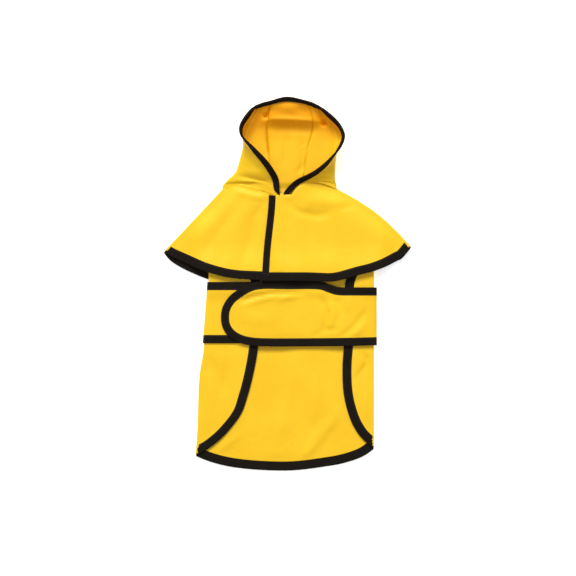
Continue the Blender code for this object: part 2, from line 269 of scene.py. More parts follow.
class Value:
    """A number that varies over a surface; arithmetic on it adds Math nodes."""

    def __init__(self, tree, socket):
        self.tree, self.socket = tree, socket

    def made(self, operation, first, second):
        step = self.tree.nodes.new("ShaderNodeMath")
        step.operation = operation
        for slot, given in zip(step.inputs, (first, second)):
            if isinstance(given, Value):
                self.tree.links.new(given.socket, slot)
            elif given is not None:
                slot.default_value = given
        return Value(self.tree, step.outputs[0])

    def __add__(self, other):
        return self.made("ADD", self, other)

    def __radd__(self, other):
        return self.made("ADD", other, self)

    def __sub__(self, other):
        return self.made("SUBTRACT", self, other)

    def __rsub__(self, other):
        return self.made("SUBTRACT", other, self)

    def __mul__(self, other):
        return self.made("MULTIPLY", self, other)

    def __rmul__(self, other):
        return self.made("MULTIPLY", other, self)

    def sine(self):
        return self.made("SINE", self, None)


class Finish:
    """A material under construction."""

    def __init__(self, name, **settings):
        self.material = bpy.data.materials.new(name)
        self.material.use_nodes = True
        self.tree = self.material.node_tree
        self.shader = self.tree.nodes["Principled BSDF"]
        for socket, value in settings.items():
            self.shader.inputs[socket.replace("_", " ")].default_value = value

    def add(self, kind, settings=None, **sockets):
        """A node of any other type: its settings first, then its sockets."""
        made = self.tree.nodes.new("ShaderNode" + kind)
        for key, value in (settings or {}).items():
            setattr(made, key, value)
        for key, value in sockets.items():
            slot = made.inputs[key.replace("_", " ")]
            if isinstance(value, Value):
                self.tree.links.new(value.socket, slot)
            elif isinstance(value, bpy.types.NodeSocket):
                self.tree.links.new(value, slot)
            else:
                slot.default_value = value
        return made

    def value(self, kind, output, settings=None, **sockets):
        return Value(self.tree, self.add(kind, settings, **sockets).outputs[output])

    def feed(self, **sockets):
        for key, value in sockets.items():
            socket = value.socket if isinstance(value, Value) else value
            self.tree.links.new(socket, self.shader.inputs[key.replace("_", " ")])

    def two_tone(self, share, low, high):
        """Colour between two, by a varying share; the first may be another mix."""
        mix = self.tree.nodes.new("ShaderNodeMix")
        mix.data_type = "RGBA"
        ends = {s.name: s for s in mix.inputs if s.type == "RGBA"}
        self.tree.links.new(share.socket, mix.inputs["Factor"])
        if isinstance(low, bpy.types.NodeSocket):
            self.tree.links.new(low, ends["A"])
        else:
            ends["A"].default_value = (*low, 1)
        ends["B"].default_value = (*high, 1)
        return [s for s in mix.outputs if s.type == "RGBA"][0]


THREAD_PITCH = 0.9                # woven ribs under the coating
YELLOW_DEEP, YELLOW_BRIGHT = (0.89, 0.51, 0.008), (0.95, 0.59, 0.015)
# painted shade: the darker, more orange yellow painted into the hood's dish in place of shade and light
# bounced from cloth to cloth
YELLOW_PAINTED_SHADE = (0.98, 0.40, 0.001)


def coated_fabric():
    """Yellow rain-proof fabric: close weave under a thin satin coat, a little uneven.

    A mesh's "inside" values tint it warmer and darker. The tint is painted shade and painted bounce
    light, in place of the shade and the light that cloth passes to cloth inside a hood, so it stays the
    same in any lighting.
    """
    cloth = Finish("yellow_coated_fabric", Metallic=0.0, Coat_Roughness=0.45, Specular_IOR_Level=0.22)
    flat = cloth.add("UVMap", {"uv_map": "cut"}).outputs["UV"]
    split = cloth.add("SeparateXYZ", Vector=flat)
    warp = Value(cloth.tree, split.outputs["X"]) * (2 * math.pi / (THREAD_PITCH * MM))
    weft = Value(cloth.tree, split.outputs["Y"]) * (2 * math.pi / (THREAD_PITCH * MM))
    weave = warp.sine() * weft.sine()
    place = cloth.add("TexCoord").outputs["Object"]
    cloud = cloth.value("TexNoise", "Fac", Vector=place, Scale=18.0, Detail=3.0)
    grain = cloth.value("TexNoise", "Fac", Vector=place, Scale=900.0, Detail=2.0)
    rumple = cloth.value("TexNoise", "Fac", Vector=place, Scale=60.0, Detail=4.0, Roughness=0.6)
    # share of painted shade for each point, read from the mesh
    inside = cloth.value("Attribute", "Fac", {"attribute_name": "inside"})
    face = cloth.two_tone(cloud * 1.4 - 0.2 + grain * 0.12, YELLOW_DEEP, YELLOW_BRIGHT)
    cloth.feed(Base_Color=cloth.two_tone(inside, face, YELLOW_PAINTED_SHADE),
               Roughness=0.42 + cloud * 0.12 + grain * 0.06,
               Coat_Weight=0.02 + cloud * 0.03)
    fine = cloth.add("Bump", Height=weave * 0.5 + grain * 0.5, Strength=0.25,
                     Distance=0.08 * MM)
    soft = cloth.add("Bump", Height=rumple, Strength=0.35, Distance=1.6 * MM,
                     Normal=fine.outputs["Normal"])
    cloth.feed(Normal=soft.outputs["Normal"])
    return cloth.material


yellow = coated_fabric()

CAPE_UNDER_BACK = 1.95
RISE_START, RISE_END = -25.0, -8.0
LEFT_FOLD_X, LEFT_FOLD_SLOPE = -107.5, 0.077
RIGHT_FOLD_X = 123.0
LEFT_BULGE = 3.0                  # the left side rounds out below the band
BACK_BINDING = 12.8
BACK_EDGE = [
    (-72, 120), (-84, 92), (-108, 66), (-150, 42), (-181, 5), (-189, -45), (-191.5, -90),
    (-190.8, -123), (-187.3, -157), (-180.5, -186), (-157, -219), (-126, -241), (-75, -256.5),
    (0, -261.5), (60, -255), (88, -249), (109, -241), (124, -230.5), (139, -218), (148, -207),
    (156.5, -191), (163.5, -169), (167.5, -145), (168, -110), (164, -60), (164.5, 0), (147, 36),
    (118, 62), (92, 92), (75, 120)]
FLAP_CREASES = [
    Crease(2.8, -2.0, [(104, -92), (116, -108), (106, -130)]),
    Crease(2.6, 1.4, [(114, -94), (121, -114)]),
    Crease(2.2, -1.5, [(118, -94), (112, -112), (98, -132)]),
    Crease(8, 1.2, [(112, -150), (116, -190)]),
    Crease(6, -1.4, [(-112, -100), (-96, -122), (-90, -150)]),
    Crease(4, -1.0, [(-113, -112), (-104, -126)]),
    Crease(9, 1.4, [(-100, -130), (-108, -185)]),
    Crease(5, -1.2, [(-80, -110), (-84, -150)])]
LINING_CREASES = [
    Crease(9, 0.8, [(12, -100), (4, -160), (-8, -215)]),
    Crease(7, 0.8, [(48, -110), (44, -150), (40, -190)]),
    Crease(5, 1.6, [(72, -182), (44, -222), (24, -243)]),
    Crease(4, 1.3, [(52, -196), (34, -226)]),
    Crease(11, 0.8, [(-50, -120), (-62, -190)]),
    Crease(4.5, 1.4, [(-70, -215), (-92, -232)]),
    Crease(5, 1.0, [(-60, -176), (-84, -210)])]


def rise(y):
    return CAPE_UNDER_BACK * smooth((y - RISE_START) / (RISE_END - RISE_START))


def left_fold(y):
    return LEFT_FOLD_X + LEFT_FOLD_SLOPE * min(y, 0)


def below_band(y):
    """1 where the cloth lies free below the belly band."""
    return smooth((-90 - y) / 12)


def back_place(x, y):
    """Flat on the floor, with both flaps turned up over it at the side folds."""
    left, right = left_fold(y) + FOLD, RIGHT_FOLD_X - FOLD
    side, past = (-1, left - x) if x < left else (1, x - right)
    out, up = fold_over(past)
    start = left if side < 0 else right
    spot = start + side * out if past > 0 else x
    z = FLOOR_LEVEL + rise(y) + up
    if past > FOLD_ARC:
        free = below_band(y) * smooth(-out / 9)
        z += free * (0.5 + relief(FLAP_CREASES, spot, y) + 0.5 * slack(spot, y, 38, 1.0))
    elif past <= 0:
        inside = smooth((x - left) / 25) * smooth((right - x) / 25)
        inside *= smooth((y + 252) / 18) * smooth((-92 - y) / 12)
        z += inside * max(0.0, 0.5 + relief(LINING_CREASES, x, y) + 0.7 * slack(x, y, 45, 4.0))
    spot -= LEFT_BULGE * smooth((-88 - y) / 42) * smooth((y + 215) / 80) * smooth((left + 45 - spot) / 45)
    return Vector((spot, y, z))


side_fold_normal = Vector((1, -LEFT_FOLD_SLOPE)).normalized()
back_cuts = (fold_cuts((LEFT_FOLD_X + FOLD, 0), (1, 0), -1)
             + fold_cuts((LEFT_FOLD_X + FOLD, 0), side_fold_normal, -1)
             + fold_cuts((RIGHT_FOLD_X - FOLD, 0), (1, 0), 1))
back_grid = grid_cuts(-196, 170, 0, PITCH) + grid_cuts(-262, 120, 1, PITCH)
back_edge = spline(BACK_EDGE, 7)
back = garment("back_panel_cloth", flat_cloth(moved_in(back_edge, TUCK), back_cuts + back_grid),
               back_place, CLOTH_WALL, 0, yellow)
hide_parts("back_panel")

# --- Binding round the back panel ---------------------------------------------------------
# Black woven bias tape folded over the raw edge and sewn through, in one length from the neck
# down one flap, round the hem and up the other. The fold stands a little round and proud.
TAPE = 1.6
TAPE_SIDE = 1 - 1.0 / TAPE
TAPE_STRIPS = 5
STITCH_PITCH, STITCH_LONG, STITCH_THICK = 3.4, 2.5, 0.55
STITCH_INSET = 1.6                 # from the tape's inner edge


def bias_tape():
    """Matt black cotton-rich tape with a fine slanting rib."""
    tape = Finish("black_bias_binding", Metallic=0.0, Specular_IOR_Level=0.08)
    place = tape.add("TexCoord").outputs["Object"]
    split = tape.add("SeparateXYZ", Vector=place)
    slant = Value(tape.tree, split.outputs["X"]) + Value(tape.tree, split.outputs["Y"])
    rib = (slant * (2 * math.pi / (1.1 * MM))).sine()
    cloud = tape.value("TexNoise", "Fac", Vector=place, Scale=45.0, Detail=3.0)
    grain = tape.value("TexNoise", "Fac", Vector=place, Scale=1400.0, Detail=2.0)
    tape.feed(Base_Color=tape.two_tone(cloud * 0.8 + grain * 0.5 - 0.2, (0.007, 0.005, 0.0035),
                                       (0.014, 0.010, 0.007)),
              Roughness=0.72 + grain * 0.2)
    bump = tape.add("Bump", Height=rib * 0.5 + grain, Strength=0.4, Distance=0.12 * MM)
    tape.feed(Normal=bump.outputs["Normal"])
    return tape.material


black = bias_tape()


def binding(name, outer, inner, place, wall, side):
    tape = garment(name, flat_tape(outer, inner, TAPE_STRIPS), place, wall, side, black)
    round_edge = tape.modifiers.new("rounded", "BEVEL")
    round_edge.width = 0.5 * MM
    round_edge.segments = 2
    round_edge.limit_method = "ANGLE"
    round_edge.angle_limit = math.radians(50)
    return tape


def along(points, pitch):
    """Evenly spaced (start, end) pairs for stitches along a 3-D line."""
    pairs, need, run = [], 0.0, 0.0
    for a, b in zip(points, points[1:]):
        gap = (b - a).length
        while gap and run + gap >= need:
            spot = a.lerp(b, (need - run) / gap)
            pairs.append((spot, (b - a).normalized()))
            need += pitch
        run += gap
    return pairs


def stitch_row(name, line, thread, lift):
    """Short rounded stitches sunk a little into the cloth, joined as one piece."""
    row = bmesh.new()
    for spot, way in along(line, STITCH_PITCH):
        made = bmesh.ops.create_uvsphere(row, u_segments=6, v_segments=4, radius=0.5)
        for vert in made["verts"]:
            shape = Vector((vert.co.x * STITCH_THICK, vert.co.y * STITCH_THICK * 0.7,
                            vert.co.z * STITCH_LONG))
            side = way.cross(Vector((0, 0, 1))).normalized()
            up = side.cross(way)
            vert.co = spot + side * shape.x + up * (shape.y + lift) + way * shape.z
    for face in row.faces:
        face.smooth = True
    for vert in row.verts:
        vert.co = (vert.co - MIDDLE) * MM
    made = bpy.data.objects.new(name, bpy.data.meshes.new(name))
    row.to_mesh(made.data)
    row.free()
    scene.collection.objects.link(made)
    made.data.materials.append(thread)
    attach(made, "root")
    return made


def thread_finish(name, colour):
    """Spun sewing thread, a little lighter than what it sews."""
    thread = Finish(name, Metallic=0.0, Sheen_Weight=0.3)
    place = thread.add("TexCoord").outputs["Object"]
    grain = thread.value("TexNoise", "Fac", Vector=place, Scale=1800.0, Detail=2.0)
    thread.feed(Base_Color=thread.two_tone(grain, tuple(0.7 * c for c in colour), colour),
                Roughness=0.55 + grain * 0.25)
    return thread.material


black_thread = thread_finish("black_thread", (0.035, 0.03, 0.027))
yellow_thread = thread_finish("yellow_thread", (0.86, 0.45, 0.01))

back_tape_in = moved_in(back_edge, BACK_BINDING)
back_tape = binding("back_edge_tape", back_edge, back_tape_in, back_place, TAPE, TAPE_SIDE)
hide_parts("back_edge_binding")
stitched = [back_place(*p) for p in moved_in(back_edge, BACK_BINDING - STITCH_INSET)]
back_stitches = stitch_row("back_edge_stitches", stitched, black_thread, 0.5)

# --- Belly band ---------------------------------------------------------------------------
# Two halves sewn at the side folds, bound along their edges. The left half lies under; the right
# half wraps over it and ends in a rounded bound tab, held by a hidden fastening.
BAND_BINDING = 11.6
UNDER_BAND_LEVEL, OVER_BAND_LEVEL = 5.2, 7.2
UNDER_BAND_TOP, UNDER_BAND_FOOT, UNDER_BAND_END = 2.5, -83.0, -25.0
OVER_BAND_EDGE = [
    (123, -5), (93, -5), (74, -4.5), (62, -1), (50, 3), (30, 4), (0, 4), (-33, 4),
    (-52, 0), (-68, -9), (-80, -19), (-88, -32), (-90.5, -46), (-88.5, -60), (-81, -72),
    (-68, -81), (-50, -86), (-25, -87.5), (30, -87.5), (80, -87), (123, -86)]
SAG_FROM, SAG_TO, SAG_RUN, SAG = -14.0, 80.0, 36.0, 2.1
TURN_POINTS = 6                   # points along each turned end of the right half's edge
BAND_CREASES = [
    Crease(2.4, -3.4, [(-62, -24), (-42, -17), (-14, -13), (22, -12)]),
    Crease(3.2, 1.6, [(-54, -29), (-30, -21), (4, -17.5)]),
    Crease(1.8, -1.4, [(-18, -22), (0, -15)]),
    Crease(2.6, 1.2, [(-10, -23), (14, -17)]),
    Crease(2.0, -2.2, [(49, -20), (56, -34), (58, -48), (53, -64)]),
    Crease(3.0, 1.9, [(62, -22), (66, -42), (62, -62)]),
    Crease(2.0, -1.8, [(72, -20), (77, -36), (74, -54)]),
    Crease(3.2, 1.6, [(84, -20), (86, -36)]),
    Crease(3.2, -2.1, [(78, -74), (94, -62), (114, -36)]),
    Crease(3.6, 1.8, [(90, -76), (110, -56)]),
    Crease(1.8, -1.4, [(61, -20), (63, -28)]),
    Crease(1.8, -1.3, [(69, -21), (70, -28)]),
    Crease(1.8, -1.3, [(80, -20), (81, -28)]),
    Crease(2.6, -1.3, [(34, -76), (52, -66), (70, -63)]),
    Crease(9.0, 0.9, [(-60, -48), (-20, -52)])]


def band_place(x, y, level, sag, loose):
    """Lies on the flaps, sags between them and turns down over the side folds."""
    radius = level - FLOOR_LEVEL - FOLD
    left, right = left_fold(y) + FOLD, RIGHT_FOLD_X - FOLD
    z = level + rise(y)
    for start, way in ((left, -1), (right, 1)):
        if (x - start) * way > 0:
            turn = (x - start) * way / radius
            return Vector((start + way * radius * math.sin(turn), y,
                           z - radius * (1 - math.cos(turn))))
    slump = smooth((x - SAG_FROM) / SAG_RUN) * smooth((SAG_TO - x) / SAG_RUN)
    return Vector((x, y, z - sag * slump + loose))


def under_band_place(x, y):
    return band_place(x, y, UNDER_BAND_LEVEL, 0.0, 0.25 * slack(x, y, 26, 7.0))


def over_band_place(x, y):
    top = 4 - 9 * smooth((x - 44) / 30)
    inside = smooth((y + 80) / 12) * smooth((top - 6 - y) / 11) * smooth((x + 82) / 14)
    inside *= smooth((RIGHT_FOLD_X - 4 - x) / 10)
    puff = 1.1 + relief(BAND_CREASES, x, y) + 0.35 * slack(x, y, 28, 2.0)
    edge_wave = 0.25 * slack(x, y, 30, 9.0)
    return band_place(x, y, OVER_BAND_LEVEL, SAG, inside * puff + edge_wave)


def turn_cuts(level):
    """Edges where a band turns down over the side folds."""
    reach = (level - FLOOR_LEVEL - FOLD) * math.pi / 2
    steps = 5
    return ([((LEFT_FOLD_X + FOLD - reach * k / steps, 0), side_fold_normal)
             for k in range(steps)]
            + [((RIGHT_FOLD_X - FOLD + reach * k / steps, 0), (1, 0)) for k in range(steps)])


def under_line(y, points):
    start = left_fold(y) + FOLD - (UNDER_BAND_LEVEL - FLOOR_LEVEL - FOLD) * math.pi / 2
    return [Vector((start + (UNDER_BAND_END - start) * k / points, y))
            for k in range(points + 1)]


under_top, under_foot = UNDER_BAND_TOP - BAND_BINDING, UNDER_BAND_FOOT + BAND_BINDING
under_cloth = under_line(UNDER_BAND_FOOT + TUCK, 1) + under_line(UNDER_BAND_TOP - TUCK, 1)[::-1]
band_grid = grid_cuts(-116, 130, 0, PITCH) + grid_cuts(-88, 4, 1, PITCH)
under = garment("belly_band_left_cloth",
                flat_cloth(under_cloth, turn_cuts(UNDER_BAND_LEVEL) + band_grid),
                under_band_place, CLOTH_WALL, 0, yellow)
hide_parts("belly_band_left")
UNDER_TAPE_POINTS = 40
under_pieces = []
for name, outer_y, inner_y, node in (
        ("belly_band_left_top_tape", UNDER_BAND_TOP, under_top, "belly_band_left_top_binding"),
        ("belly_band_left_lower_tape", UNDER_BAND_FOOT, under_foot,
         "belly_band_left_lower_binding")):
    outer = under_line(outer_y, UNDER_TAPE_POINTS)
    inner = under_line(inner_y, UNDER_TAPE_POINTS)
    inward = 1 if inner_y > outer_y else -1
    if inward < 0:
        outer, inner = outer[::-1], inner[::-1]
    tape = binding(name, outer, inner, under_band_place, TAPE, -TAPE_SIDE)
    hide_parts(node)
    line = [under_band_place(p.x, inner_y - inward * STITCH_INSET) for p in inner]
    under_pieces += [tape, stitch_row(name + "_stitches", line, black_thread, 0.5)]

over_reach = RIGHT_FOLD_X - FOLD + (OVER_BAND_LEVEL - FLOOR_LEVEL - FOLD) * math.pi / 2
over_edge = spline(OVER_BAND_EDGE, 16)
over_turn = [(over_reach - RIGHT_FOLD_X) * (1 - k / TURN_POINTS) for k in range(TURN_POINTS)]
over_edge = ([over_edge[0] + Vector((out, 0)) for out in over_turn] + over_edge
             + [over_edge[-1] + Vector((out, 0)) for out in over_turn[::-1]])
over = garment("belly_band_right_cloth",
               flat_cloth(moved_in(over_edge, TUCK), turn_cuts(OVER_BAND_LEVEL) + band_grid),
               over_band_place, CLOTH_WALL, 0, yellow)
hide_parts("belly_band_right")
over_tape = binding("belly_band_right_tape", over_edge, moved_in(over_edge, BAND_BINDING),
                    over_band_place, TAPE, -TAPE_SIDE)
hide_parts("belly_band_right_binding")
over_line = [over_band_place(*p) for p in moved_in(over_edge, BAND_BINDING - STITCH_INSET)]
over_stitches = stitch_row("belly_band_right_stitches", over_line, black_thread, 0.5)

# --- Capelet ------------------------------------------------------------------------------
# One curved piece wrapped round the shoulders and pressed flat at both shoulder folds. Its right
# front laps over the left, with binding up that edge and round the whole hem.
CAPE_BINDING, FRONT_BINDING = 12.0, 9.8
LEFT_SHOULDER = ((-86.5, 134.0), (-171.0, 44.0))
RIGHT_SHOULDER = ((69.0, 134.0), (175.0, 52.0))
SWELL, SWELL_REACH = 7.5, 60.0
RIGHT_HEM = [(-33, 4), (-22, 4), (0, 4), (30, 4), (50, 3.3), (62, 3), (76, 5), (101, 12),
             (121, 17), (138, 23), (155, 31.5), (165, 38)]
BACK_HEM = [(166, 40), (150, 29), (125, 18), (95, 9), (60, 2.5), (20, -1.5), (-20, -2),
            (-60, 0), (-90, 3.5), (-109, 6.5), (-134, 16.5), (-152, 26), (-164, 35)]
LEFT_HEM = [(-163.5, 40), (-151, 34), (-134, 26.5), (-117, 19), (-100, 13.5), (-84, 9.5),
            (-67, 7), (-50, 6), (-22, 5), (6, 4.5)]
LEFT_NECK = [(3, 125), (-8, 126), (-25, 130), (-45, 136), (-67, 139.5), (-84, 135)]
BACK_NECK = [(-84, 133), (-50, 131.2), (-16.5, 130.6), (23, 130.6), (45, 131.5), (67, 133)]
RIGHT_NECK = [(66, 136), (48, 143.5), (30, 141), (16, 134), (8, 124.5)]
RIGHT_FRONT_EDGE = [(-23.5, 124), (-25, 100), (-30.5, 50), (-33, 13)]
CAPE_LOW, CAPE_MID, CAPE_HEM = 3.6, 6.9, 11.6
CLIMB_FROM, CLIMB_RUN = 58.0, 46.0
CAPE_OVERLAP = 2.0
CAPE_TROUGH = -1.2                # its deepest crease still clears the back's binding
CAPE_GRID = 3.6
LEFT_CREASES = [
    Crease(9, 1.2, [(-50, 116), (-66, 80), (-78, 34)]),
    Crease(7, -1.1, [(-62, 116), (-92, 74), (-118, 40)]),
    Crease(6, -1.1, [(-38, 106), (-46, 70), (-60, 30)]),
    Crease(4, -1.2, [(-33, 108), (-42, 94)]),
    Crease(3, -2.0, [(-68, 136), (-46, 129), (-25, 128)]),
    Crease(4, 1.6, [(-66, 129), (-44, 122), (-27, 121)]),
    Crease(10, 1.0, [(-96, 100), (-128, 62)])]
RIGHT_CREASES = [
    Crease(4, -2.2, [(2, 114), (17, 101), (38, 94), (58, 97)]),
    Crease(3, -0.9, [(30, 100), (44, 97)]),
    Crease(3.5, -1.2, [(72, 103), (90, 105)]),
    Crease(9, 1.9, [(28, 115), (54, 116), (80, 112)]),
    Crease(1.5, -0.8, [(0, 116), (9, 115)]),
    Crease(2.2, -0.8, [(8, 121), (22, 112)]),
    Crease(10, -0.5, [(34, 88), (28, 60), (30, 30)]),
    Crease(11, 0.5, [(60, 84), (66, 50), (62, 22)]),
    Crease(10, -0.5, [(100, 92), (112, 60), (114, 34)]),
    Crease(8, 0.7, [(124, 82), (140, 52)]),
    Crease(1.0, -0.45, [(0, 106), (-1.5, 60), (-2.5, 22)])]


class Shoulder:
    """A fold line of the capelet, with what lies past it turned to the front."""

    def __init__(self, line, outward_left):
        self.top, self.foot = Vector(line[0]), Vector(line[1])
        self.length = (self.foot - self.top).length
        self.along = (self.foot - self.top).normalized()
        side = Vector((-self.along.y, self.along.x))
        self.out = side if (side.x < 0) == outward_left else -side

    def past(self, x, y):
        """How far a point of the flat cut lies past the fold's start."""
        return (Vector((x, y)) - self.top).dot(self.out) + FOLD

    def unfold(self, point):
        """Flat cut's place for a point seen on the front."""
        return Vector(point) + self.out * (FOLD_ARC - 2 * self.past(*point))


left_shoulder = Shoulder(LEFT_SHOULDER, True)
right_shoulder = Shoulder(RIGHT_SHOULDER, False)


def front_level(x, y):
    """Height of the left front over the floor: low at the sides, high on the band."""
    mid = CAPE_MID + (CAPE_HEM - CAPE_MID) * smooth((CLIMB_FROM - y) / CLIMB_RUN)
    side = 1 - smooth((abs(x - 7) - 120) / 26)
    return CAPE_LOW + side * (mid - CAPE_LOW)


def cape_place(x, y):
    """Flat back on the floor, both fronts turned over at the shoulder folds."""
    spot, z = Vector((x, y)), FLOOR_LEVEL
    for fold in (left_shoulder, right_shoulder):
        past = fold.past(x, y)
        if past <= 0:
            continue
        out, up = fold_over(past)
        spot = Vector((x, y)) + fold.out * (out - past)
        z += up
        if past > FOLD_ARC:
            ramp = smooth(-out / 25)
            goal = front_level(spot.x, spot.y)
            creases, seed = LEFT_CREASES, 3.0
            if fold is right_shoulder:
                goal += CAPE_OVERLAP * (1 - smooth((spot.x - 14) / 30))
                creases, seed = RIGHT_CREASES, 5.0
            z += ramp * (goal - z)
            free = smooth((spot.y - 12) / 16) * smooth(-out / 14)
            if fold is left_shoulder:
                free *= smooth((-26 - spot.x) / 8)
            z += free * max(0.6 + relief(creases, spot.x, spot.y)
                            + 0.6 * slack(spot.x, spot.y, 42, seed), CAPE_TROUGH)
        break
    run = (spot - right_shoulder.top).dot(right_shoulder.along) / right_shoulder.length
    depth = -(spot - right_shoulder.top).dot(right_shoulder.out)
    bow = SWELL * math.sin(math.pi * min(max(run, 0), 1)) * smooth(1 - depth / SWELL_REACH)
    spot = spot + right_shoulder.out * bow
    return Vector((spot.x, spot.y, z))


hem = spline([left_shoulder.unfold(p) for p in LEFT_HEM[::-1]] + BACK_HEM[::-1]
             + [right_shoulder.unfold(p) for p in RIGHT_HEM[::-1]], 6)
front_edge = spline([right_shoulder.unfold(p) for p in RIGHT_FRONT_EDGE[::-1]], 10)
neck = (spline([right_shoulder.unfold(p) for p in RIGHT_NECK[::-1]], 4)
        + spline(BACK_NECK[::-1], 4)
        + spline([left_shoulder.unfold(p) for p in LEFT_NECK[::-1]], 4))
cape_cuts = []
for fold in (left_shoulder, right_shoulder):
    cape_cuts += fold_cuts(fold.top - fold.out * FOLD, fold.out, 1)
cape_cuts += grid_cuts(-262, 262, 0, CAPE_GRID) + grid_cuts(-4, 232, 1, CAPE_GRID)
cape_outline = moved_in(hem, TUCK)[:-6] + moved_in(front_edge, TUCK) + neck
cape = garment("capelet_cloth", flat_cloth(cape_outline, cape_cuts), cape_place,
               CLOTH_WALL, 0, yellow)
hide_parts("capelet")
cape_pieces = []
for name, edge_line, wide, node in (
        ("capelet_hem_tape", hem, CAPE_BINDING, "capelet_hem_binding"),
        ("capelet_front_tape", front_edge, FRONT_BINDING, "capelet_front_binding")):
    tape = binding(name, edge_line, moved_in(edge_line, wide), cape_place, TAPE, TAPE_SIDE)
    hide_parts(node)
    line = [cape_place(*p) for p in moved_in(edge_line, wide - STITCH_INSET)]
    cape_pieces += [tape, stitch_row(name + "_stitches", line, black_thread, 0.4)]
FACING_SEAM = [(0, 118), (-0.5, 90), (-2, 50), (-3, 16)]
facing = [cape_place(*right_shoulder.unfold(p)) for p in spline(FACING_SEAM, 12)]
cape_pieces.append(stitch_row("capelet_facing_stitches", facing, yellow_thread, 0.3))

# --- Hood ---------------------------------------------------------------------------------
# Two side panels and a long centre panel, sewn along two seams and lying open like a dish. The
# forehead stands up past the crown, and the sides bow out below the rim before they meet the neck.
Section = namedtuple("Section", "rim_y seam_y rim_z seam_z side_z low_z l_rim l_side l_low "
                                "l_seam r_seam r_low r_side r_rim")
HOOD = [
    Section(144, 144, 12, 0.5, 6.0, 0.8, -9.5, -81, -62, -19, 24, 52, 68.5, 14),
    Section(155, 156, 20, 0.5, 8.0, 0.8, -15, -69.5, -55, -22, 26, 53, 68.5, 38),
    Section(170, 173, 28, 0.5, 11, 1.0, -26, -64, -53, -23.5, 28, 56, 69.5, 58),
    Section(187, 190, 33, 0.5, 14, 1.6, -43, -60, -52, -25, 31, 60, 71, 74),
    Section(203, 204, 34, 1.0, 14, 2.5, -60, -59, -50, -26, 35, 62, 75, 81),
    Section(216, 217, 32, 4.0, 14, 4.0, -63.5, -56, -45, -26, 38, 60, 70, 77.5),
    Section(228, 229, 29, 11, 15, 8.0, -59, -49, -39, -25, 38, 51, 58, 69),
    Section(240, 243, 25.5, 15.5, 17.5, 14, -50, -43, -35, -23, 33, 42, 47.5, 55.5),
    Section(245, 253.5, 25, 24.5, 23.5, 24, -43.5, -38, -31, -21, 29, 37, 42, 47)]
FOREHEAD_PEAK = (2.0, 259.6)
NECK_RING = [(-8.5, 127.5, 9.4), (-46, 140, 6.6), (-87, 138, 3.2), (-55, 134, 0.7),
             (-16.5, 132.2, 0.5), (3, 132.2, 0.5), (23, 132.2, 0.5), (45, 134, 0.7),
             (70.5, 138.5, 3.2), (34, 148, 7.6), (-1.5, 129, 8.5)]
TUCKED_RING = [(-8.75, 120.5, 8.0), (-46, 133, 5.8), (-88.5, 131.5, 2.6), (-55, 127, 1.5),
               (-16.5, 124, 1.7), (3, 122, 1.7), (23, 124, 1.7), (45, 127, 1.5),
               (71, 131.5, 3.6), (35, 141.5, 7.8), (-3.5, 120.5, 7.8)]
HOOD_STEPS = 7
SIDE_TURN = 2.4                   # sections in from the rim, where the sides turn to the back
CROWN_START = 5.6                 # sections up from the neck, where the crown starts
PAINTED_SHADE_LEAST = 0.25                 # share of the painted shade low in the hood
PAINTED_SHADE_FROM, PAINTED_SHADE_RUN = 196, 34     # how far up the painted shade deepens, and over what length
BACK_PUFF = 2.6                   # the back panel stands off the floor between creases
SEAM_SPAN = 4
RIM_LEAN = 0.36
HOOD_BINDING = 8.5
HOOD_TAPE = 3.0
CROWN_NARROW = 0.3                # the binding turns on edge over the forehead
NARROW_FROM, NARROW_RUN = 236, 14
RIM_TUCK = 0.6                    # share of the first cell left bare for the binding's fold
BACK_CREASES = [
    Crease(2.4, -1.6, [(-25, 212), (-25, 190), (-27, 178)]),
    Crease(2.4, -1.2, [(-13, 210), (-12, 182)]),
    Crease(2.4, -1.5, [(1, 206), (-2, 186), (-4, 168)]),
    Crease(2.2, -2.6, [(23, 200), (27, 182), (25, 168), (19, 156)]),
    Crease(2.4, -1.3, [(37, 196), (33, 174)]),
    Crease(4.0, 1.3, [(-7, 200), (-8, 168)]),
    Crease(4.0, 1.5, [(12, 204), (14, 164)]),
    Crease(3.5, 1.4, [(31, 198), (33, 168)]),
    Crease(4.0, 1.0, [(-20, 202), (-22, 164)]),
    Crease(3.0, 2.6, [(-19, 230), (10, 229), (38, 227)]),
    Crease(7.0, -2.2, [(-20, 219), (10, 217), (42, 215)]),
    Crease(3.0, -8.0, [(-29, 237), (-27, 231)]),
    Crease(2.2, -2.6, [(-21, 247), (-25, 237)]),
    Crease(3.0, -8.0, [(54, 227), (53, 221)]),
    Crease(2.2, -2.4, [(48, 235), (53, 226)]),
    Crease(6.0, 1.6, [(-6, 244), (12, 243)]),
    Crease(5.0, -1.2, [(18, 250), (26, 236)]),
    Crease(1.3, -0.7, [(-24, 236), (-26, 222), (-26, 204), (-25, 180)]),
    Crease(1.3, -0.3, [(36, 236), (38, 222), (36, 200), (31, 184)])]
OUTSIDE_CREASES = [
    Crease(2.6, -1.8, [(-62, 150), (-44, 146), (-26, 142)]),
    Crease(3.0, 1.6, [(-64, 145), (-44, 141), (-24, 137)]),
    Crease(4.0, 1.0, [(-58, 158), (-40, 154)]),
    Crease(2.5, -1.0, [(-56, 178), (-44, 166), (-34, 158)]),
    Crease(2.6, -1.4, [(20, 142), (40, 147), (60, 146)]),
    Crease(3.0, 1.0, [(44, 154), (62, 152)])]


